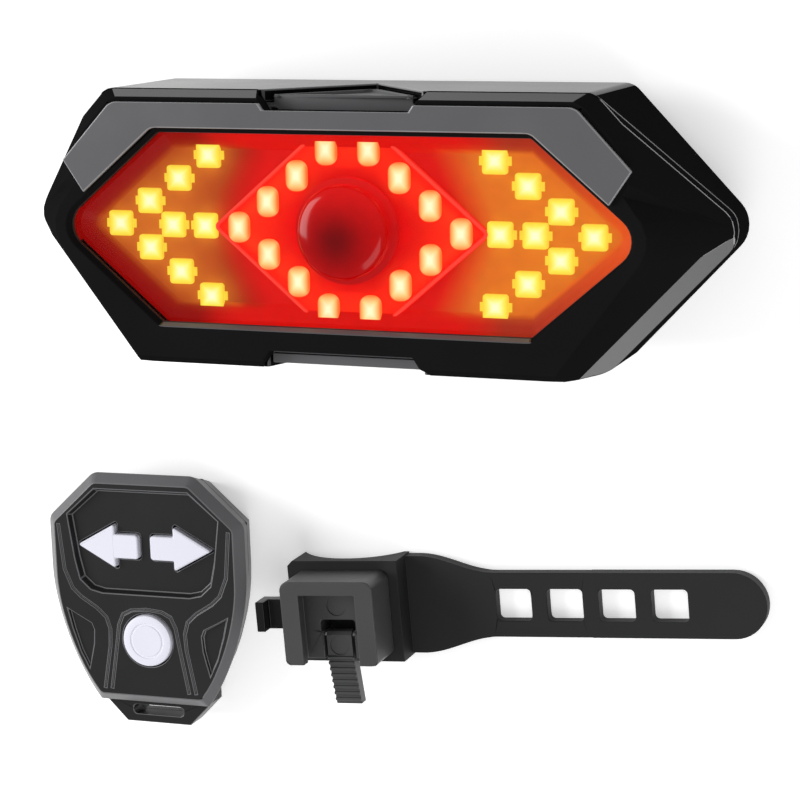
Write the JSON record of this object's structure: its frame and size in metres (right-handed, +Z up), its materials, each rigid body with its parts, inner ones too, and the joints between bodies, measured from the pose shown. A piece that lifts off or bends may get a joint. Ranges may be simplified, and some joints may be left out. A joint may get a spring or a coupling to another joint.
{
  "type": "bicycle turn signal light",
  "caption": "Six-sided bicycle rear light with a red lamp ring and amber arrow signals behind a clear lens, laid out with its key remote and its strap mount.",
  "frame": {"origin": "middle of the mounting foot's underside, on the surface that the set lies on", "axes": "+Z up, the way the light faces; +X to the light's right; +Y to the light's top edge, where the power button is"},
  "size_m": [0.1288, 0.1158, 0.0358],
  "materials": {
    "black_gloss": "glossy black moulding",
    "black_satin": "satin black moulding",
    "grey_gloss": "grey glossy plate",
    "clear_lens": "clear, lightly tinted",
    "soft_black": "soft black silicone",
    "dark_red": "polished dark red",
    "amber_tray": "translucent, lit from behind",
    "red_plate": "translucent red, lit",
    "board": "circuit board",
    "red_lamp": "lit lamp package",
    "amber_lamp": "lit lamp package",
    "cell_can": "metal can",
    "nickel": "nickel plate",
    "steel": "zinc plated",
    "white_key": "satin white silicone",
    "bracket_black": "fine matt black moulding",
    "strap_rubber": "matt black silicone"
  },
  "bodies": {
    "light": {"rear_housing": "black_gloss", "mount_foot": "black_satin", "foot_screws": "steel", "front_bezel": "black_gloss", "upper_trim": "grey_gloss", "lens": "clear_lens", "lens_gasket": "soft_black", "center_dome": "dark_red", "reflector_tray": "amber_tray", "red_diffuser": "red_plate", "lamp_board": "board", "red_lamps": "red_lamp", "left_amber_lamps": "amber_lamp", "right_amber_lamps": "amber_lamp", "battery": "cell_can", "battery_tabs": "nickel", "receiver_module": "board", "power_switch": "black_satin", "charging_socket": "nickel", "housing_screws": "steel"},
    "power_button": {"power_button": "soft_black"},
    "port_cover": {"port_cover": "soft_black"},
    "remote": {"remote_back_shell": "black_satin", "remote_top_shell": "black_satin", "remote_board": "board", "dome_switches": "nickel", "coin_cell_clip": "nickel", "remote_coin_cell": "cell_can", "remote_screws": "steel"},
    "left_key": {"left_arrow_key": "white_key"},
    "right_key": {"right_arrow_key": "white_key"},
    "mode_key": {"mode_key": "white_key"},
    "battery_door": {"battery_door": "black_satin", "door_seal": "soft_black"},
    "mount": {"bracket_body": "bracket_black", "lever_pin": "steel", "strap_base": "strap_rubber"},
    "lever": {"release_lever": "bracket_black"},
    "strap_near": {"strap_near": "strap_rubber"},
    "strap_middle": {"strap_middle": "strap_rubber"},
    "strap_tip": {"strap_tip": "strap_rubber"}
  },
  "joints": [
    {"name": "power_button_press", "type": "slide", "parent": "light", "child": "power_button", "axis": [0, -1, 0], "range_m": [0, 0.0008], "stiffness_N_per_m": 500},
    {"name": "port_cover_swing", "type": "hinge", "parent": "light", "child": "port_cover", "pos_m": [0, -0.0207, 0.0181], "axis": [1, 0, 0], "range_deg": [0, 100]},
    {"name": "remote_lift", "type": "slide", "parent": "light", "child": "remote", "axis": [0, 0, 1], "range_m": [0, 0.06]},
    {"name": "left_key_press", "type": "slide", "parent": "remote", "child": "left_key", "axis": [0, 0, -1], "range_m": [0, 0.0006], "stiffness_N_per_m": 300},
    {"name": "right_key_press", "type": "slide", "parent": "remote", "child": "right_key", "axis": [0, 0, -1], "range_m": [0, 0.0006], "stiffness_N_per_m": 300},
    {"name": "mode_key_press", "type": "slide", "parent": "remote", "child": "mode_key", "axis": [0, 0, -1], "range_m": [0, 0.0006], "stiffness_N_per_m": 300},
    {"name": "battery_door_turn", "type": "hinge", "parent": "remote", "child": "battery_door", "pos_m": [-0.0473, -0.06585, 0.00075], "axis": [0, 0, 1], "range_deg": [0, 60]},
    {"name": "mount_lift", "type": "slide", "parent": "light", "child": "mount", "axis": [0, 0, 1], "range_m": [0, 0.06]},
    {"name": "lever_rock", "type": "hinge", "parent": "mount", "child": "lever", "pos_m": [-0.01045, -0.07299, 0.0097], "axis": [0.9969, 0.0785, 0], "range_deg": [0, 6], "stiffness_Nm_per_rad": 0.05},
    {"name": "strap_bend_near", "type": "hinge", "parent": "mount", "child": "strap_near", "pos_m": [0.00483, -0.06858, 0.0024], "axis": [0.0785, -0.9969, 0], "range_deg": [0, 40], "stiffness_Nm_per_rad": 0.01},
    {"name": "strap_bend_middle", "type": "hinge", "parent": "strap_near", "child": "strap_middle", "pos_m": [0.02307, -0.06714, 0.0024], "axis": [0.0785, -0.9969, 0], "range_deg": [0, 40], "stiffness_Nm_per_rad": 0.01},
    {"name": "strap_bend_tip", "type": "hinge", "parent": "strap_middle", "child": "strap_tip", "pos_m": [0.04131, -0.06571, 0.0024], "axis": [0.0785, -0.9969, 0], "range_deg": [0, 40], "stiffness_Nm_per_rad": 0.01}
  ],
  "couplings": [
    {"joint": "strap_bend_middle", "follows": "strap_bend_near", "ratio": 1},
    {"joint": "strap_bend_tip", "follows": "strap_bend_near", "ratio": 1}
  ]
}
